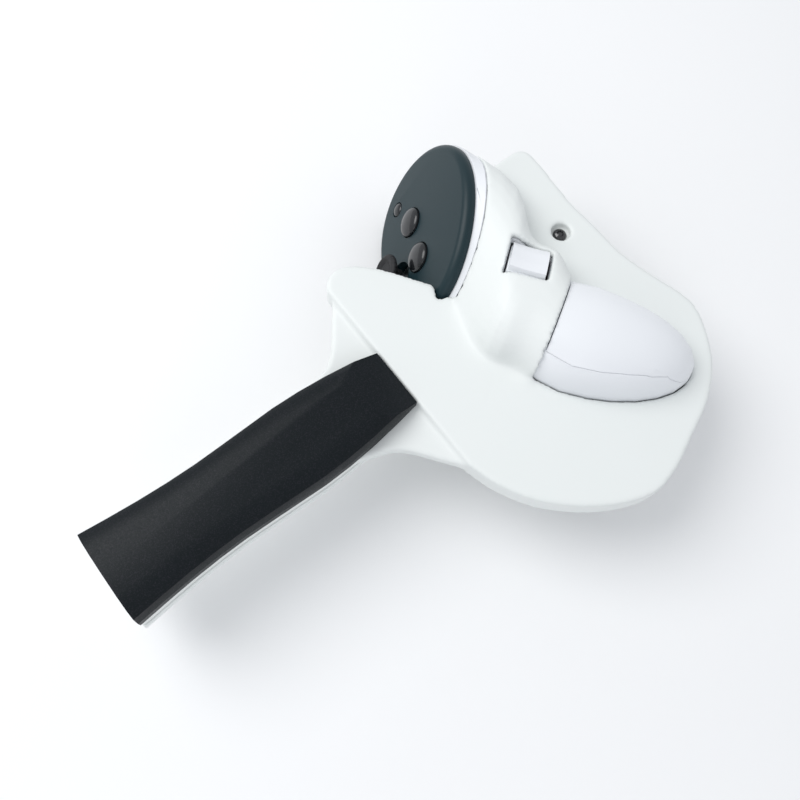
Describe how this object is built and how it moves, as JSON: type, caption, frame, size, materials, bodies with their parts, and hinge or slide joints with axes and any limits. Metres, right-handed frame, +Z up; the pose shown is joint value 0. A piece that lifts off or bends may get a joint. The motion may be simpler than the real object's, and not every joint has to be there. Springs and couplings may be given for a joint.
{
  "type": "vr motion controller",
  "caption": "Handheld motion controller with domed face buttons, thumbstick, trigger and grip button, clamped in a racket-shaped holder with a long two-part handle.",
  "frame": {"origin": "on the surface the cradle's foot stands on, under the middle of the whole object's box", "axes": "+X from the handle's butt along the handle to the blade, +Z up out of the blade's upper face, so +Y is across the blade towards the controller's face"},
  "size_m": [0.202, 0.1464, 0.0549],
  "materials": {
    "bat_blade": "fine matt white print, faintly cool",
    "bat_cradle": "fine matt white print",
    "grip_scale_upper": "dark slate, soft sheen with a fine sparkle",
    "grip_scale_lower": "matt white",
    "grip_screw_1": "plain steel",
    "grip_screw_2": "plain steel",
    "cover_screw_top": "glossy black",
    "cradle_screw": "glossy black",
    "grip_shell": "smooth satin, cool grey-white",
    "head_rim": "smooth satin, cool grey-white",
    "face_plate": "dark teal slate, satin",
    "inner_frame": "plain moulded grey",
    "circuit_board": "green solder mask",
    "button_a_dome": "silicone",
    "button_b_dome": "silicone",
    "button_menu_dome": "silicone",
    "tracking_led_1": "dark infrared lens",
    "tracking_led_2": "dark infrared lens",
    "tracking_led_3": "dark infrared lens",
    "tracking_led_4": "dark infrared lens",
    "battery_cell": "printed jacket, plain, no text",
    "battery_contact": "plated",
    "battery_spring": "wire",
    "haptic_motor": "drawn can",
    "trigger_pin": "ground",
    "trigger_spring": "wire",
    "grip_bracket": "plain moulded grey",
    "grip_pin": "ground",
    "grip_spring": "wire",
    "thumbstick_module": "pressed can",
    "battery_door": "smooth satin, cool grey-white",
    "button_a": "polished near-black",
    "button_b": "polished near-black",
    "button_menu": "polished near-black",
    "thumbstick_yoke": "black acetal",
    "thumbstick_gimbal": "natural acetal",
    "thumbstick_stem": "natural acetal",
    "thumbstick_cap": "matt black with a textured rim",
    "trigger": "smooth satin, cool grey-white",
    "grip_button": "smooth satin white"
  },
  "bodies": {
    "holder": {"bat_blade": "bat_blade", "bat_cradle": "bat_cradle", "grip_scale_upper": "grip_scale_upper", "grip_scale_lower": "grip_scale_lower", "grip_screw_1": "grip_screw_1", "grip_screw_2": "grip_screw_2", "cover_screw_top": "cover_screw_top", "cradle_screw": "cradle_screw", "grip_shell": "grip_shell", "head_rim": "head_rim", "face_plate": "face_plate", "inner_frame": "inner_frame", "circuit_board": "circuit_board", "button_a_dome": "button_a_dome", "button_b_dome": "button_b_dome", "button_menu_dome": "button_menu_dome", "tracking_led_1": "tracking_led_1", "tracking_led_2": "tracking_led_2", "tracking_led_3": "tracking_led_3", "tracking_led_4": "tracking_led_4", "battery_cell": "battery_cell", "battery_contact": "battery_contact", "battery_spring": "battery_spring", "haptic_motor": "haptic_motor", "trigger_pin": "trigger_pin", "trigger_spring": "trigger_spring", "grip_bracket": "grip_bracket", "grip_pin": "grip_pin", "grip_spring": "grip_spring", "thumbstick_module": "thumbstick_module"},
    "battery_door": {"battery_door": "battery_door"},
    "button_a": {"button_a": "button_a"},
    "button_b": {"button_b": "button_b"},
    "button_menu": {"button_menu": "button_menu"},
    "stick_yoke": {"thumbstick_yoke": "thumbstick_yoke"},
    "stick_gimbal": {"thumbstick_gimbal": "thumbstick_gimbal"},
    "stick": {"thumbstick_stem": "thumbstick_stem", "thumbstick_cap": "thumbstick_cap"},
    "trigger": {"trigger": "trigger"},
    "grip_button": {"grip_button": "grip_button"}
  },
  "joints": [
    {"name": "battery_door_slide", "type": "slide", "parent": "holder", "child": "battery_door", "axis": [0.5101, -0.8601, 0], "range_m": [0, 0.045]},
    {"name": "button_a_press", "type": "slide", "parent": "holder", "child": "button_a", "axis": [0.6823, -0.5318, -0.5017], "range_m": [0, 0.001], "stiffness_N_per_m": 400},
    {"name": "button_b_press", "type": "slide", "parent": "holder", "child": "button_b", "axis": [0.6823, -0.5318, -0.5017], "range_m": [0, 0.001], "stiffness_N_per_m": 400},
    {"name": "button_menu_press", "type": "slide", "parent": "holder", "child": "button_menu", "axis": [0.6823, -0.5318, -0.5017], "range_m": [0, 0.0006], "stiffness_N_per_m": 400},
    {"name": "stick_click", "type": "slide", "parent": "holder", "child": "stick_yoke", "axis": [0.6823, -0.5318, -0.5017], "range_m": [0, 0.0004], "stiffness_N_per_m": 800},
    {"name": "stick_side_tilt", "type": "hinge", "parent": "stick_yoke", "child": "stick_gimbal", "pos_m": [0.03994, 0.03672, 0.01238], "axis": [0.3874, -0.319, 0.865], "range_deg": [-12, 12], "stiffness_Nm_per_rad": 0.03},
    {"name": "stick_long_tilt", "type": "hinge", "parent": "stick_gimbal", "child": "stick", "pos_m": [0.03994, 0.03672, 0.01238], "axis": [0.62, 0.7845, 0.0117], "range_deg": [-12, 12], "stiffness_Nm_per_rad": 0.03},
    {"name": "trigger_pull", "type": "hinge", "parent": "holder", "child": "trigger", "pos_m": [0.06295, 0.05471, 0.02386], "axis": [-0.4718, 0.2038, -0.8578], "range_deg": [0, 16], "stiffness_Nm_per_rad": 0.1},
    {"name": "grip_squeeze", "type": "hinge", "parent": "holder", "child": "grip_button", "pos_m": [0.05071, 0.01258, 0.04259], "axis": [0.7572, 0.5813, -0.298], "range_deg": [0, 4.5], "stiffness_Nm_per_rad": 0.15}
  ]
}
